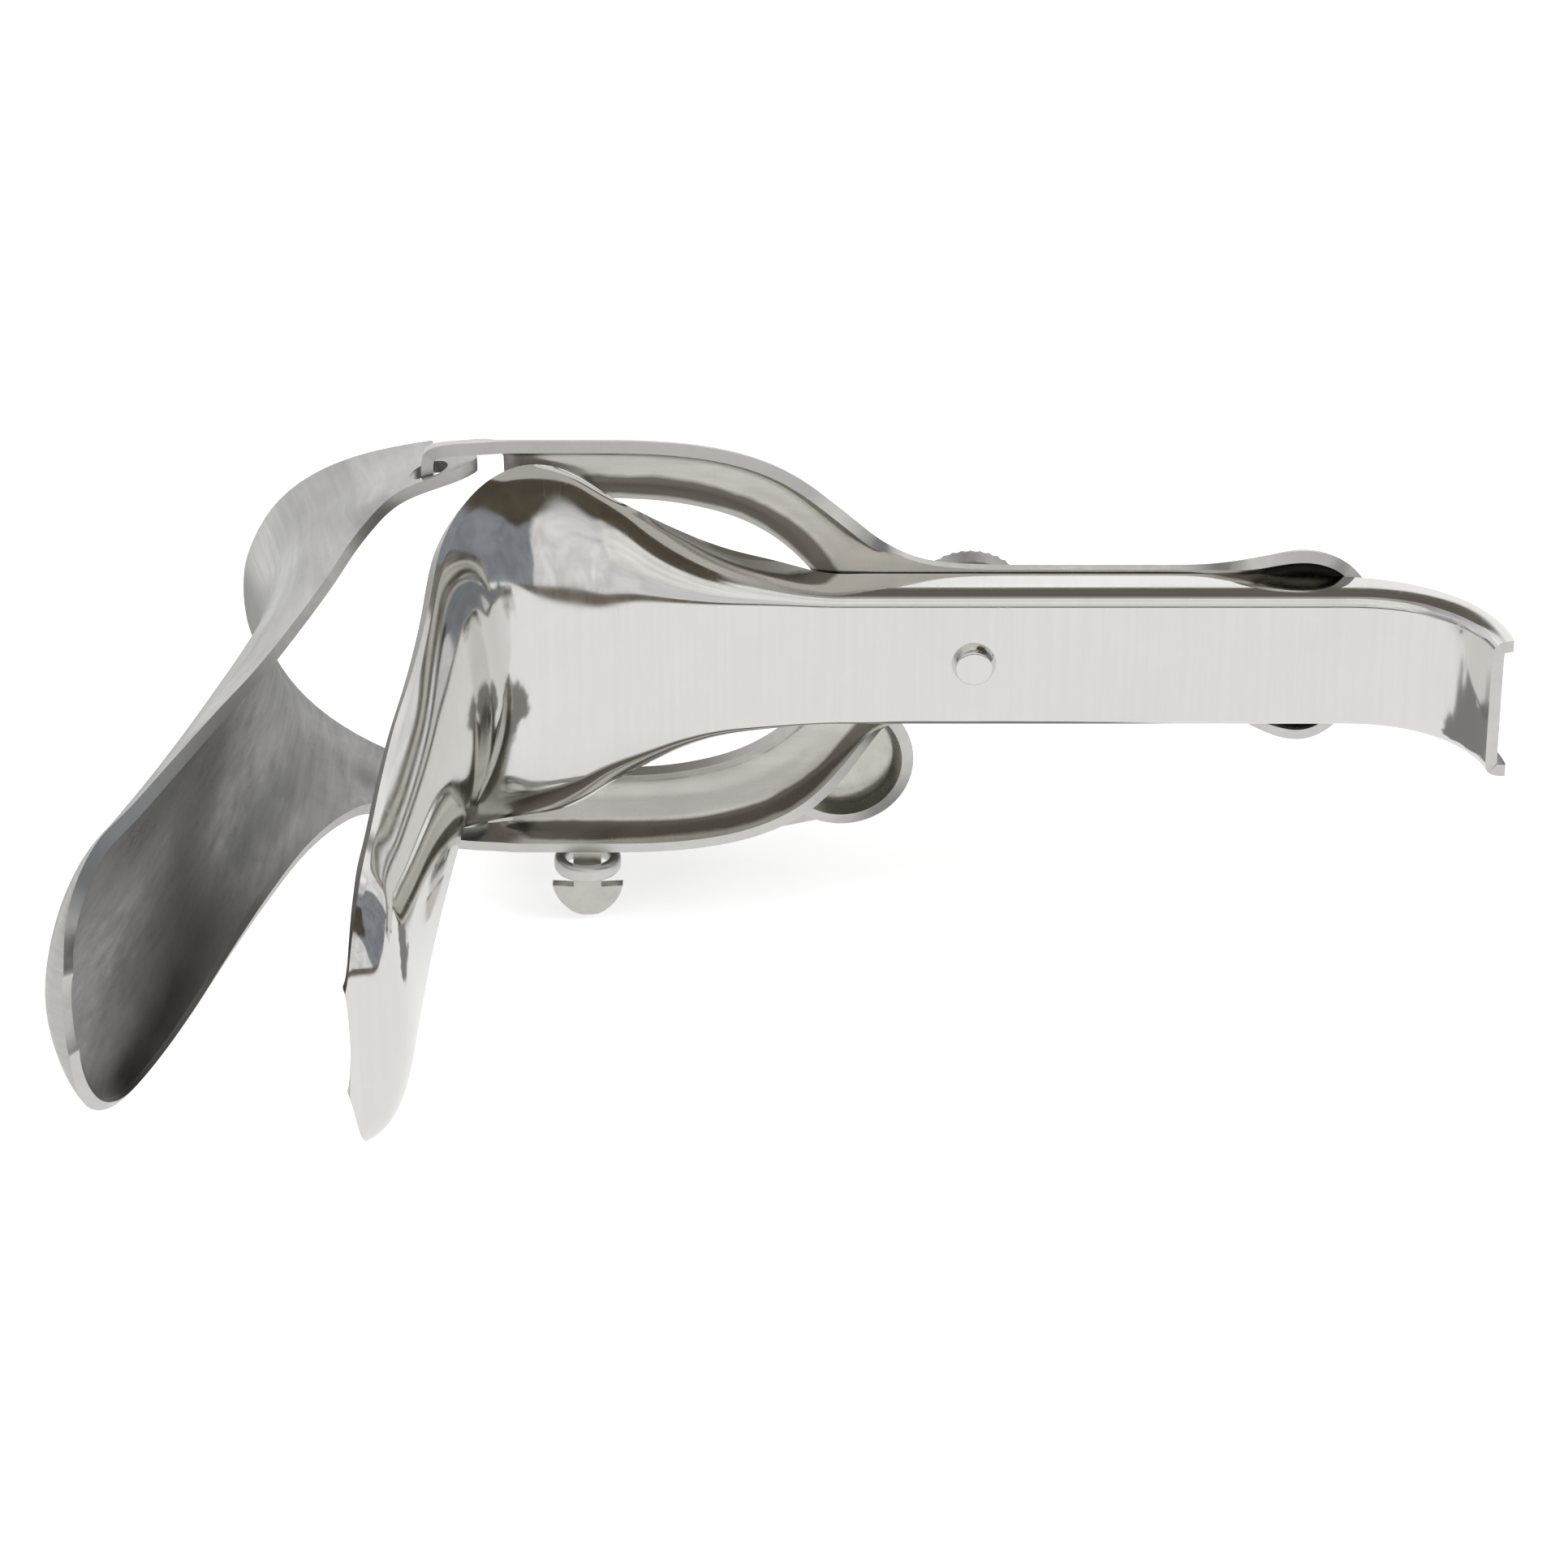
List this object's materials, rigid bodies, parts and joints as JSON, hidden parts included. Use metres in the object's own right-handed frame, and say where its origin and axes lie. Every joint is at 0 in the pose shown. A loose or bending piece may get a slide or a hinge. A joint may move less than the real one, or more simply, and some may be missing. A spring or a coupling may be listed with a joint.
{
  "type": "bivalve vaginal speculum",
  "caption": "Two-bladed stainless speculum: a lower blade on a channel handle, a hinged upper blade on a sliding fork, thumb lever and set nuts.",
  "frame": {"origin": "middle of the flat front face of the handle, on the object's plane of symmetry", "axes": "+X along the handle towards its hooked end, +Y away from the patient to the user's side, +Z across the blades"},
  "size_m": [0.169, 0.1322, 0.0654],
  "materials": {
    "lower_blade": "mirror-polished stainless sheet",
    "handle_stud": "polished stainless",
    "handle_nut": "turned stainless with a diamond-knurled rim",
    "fork": "polished outside, satin in the channel",
    "upper_blade": "polished outside, brushed inside",
    "thumb_lever": "satin stainless",
    "lever_rivets": "satin stainless",
    "tension_rod": "turned stainless, threaded",
    "rod_nut": "turned stainless with a diamond-knurled rim"
  },
  "bodies": {
    "lower": {"lower_blade": "lower_blade", "handle_stud": "handle_stud"},
    "stud_nut": {"handle_nut": "handle_nut"},
    "yoke": {"fork": "fork"},
    "upper": {"upper_blade": "upper_blade", "thumb_lever": "thumb_lever", "lever_rivets": "lever_rivets"},
    "rod": {"tension_rod": "tension_rod"},
    "set_nut": {"rod_nut": "rod_nut"}
  },
  "joints": [
    {"name": "fork_slide", "type": "slide", "parent": "lower", "child": "yoke", "axis": [-1, 0, 0], "range_m": [0, 0.014]},
    {"name": "blade_hinge", "type": "hinge", "parent": "yoke", "child": "upper", "pos_m": [-0.0908, 0.0056, 0], "axis": [0, 0, 1], "range_deg": [-1.5, 18]},
    {"name": "stud_nut_turn", "type": "hinge", "parent": "lower", "child": "stud_nut", "pos_m": [-0.024, 0.012, 0], "axis": [0, 1, 0], "continuous": true},
    {"name": "rod_swing", "type": "hinge", "parent": "yoke", "child": "rod", "pos_m": [-0.0723, 0.0056, -0.0304], "axis": [0, 0, 1], "range_deg": [-3, 3]},
    {"name": "rod_nut_travel", "type": "slide", "parent": "rod", "child": "set_nut", "axis": [0, 1, 0], "range_m": [-0.001, 0.008]}
  ]
}
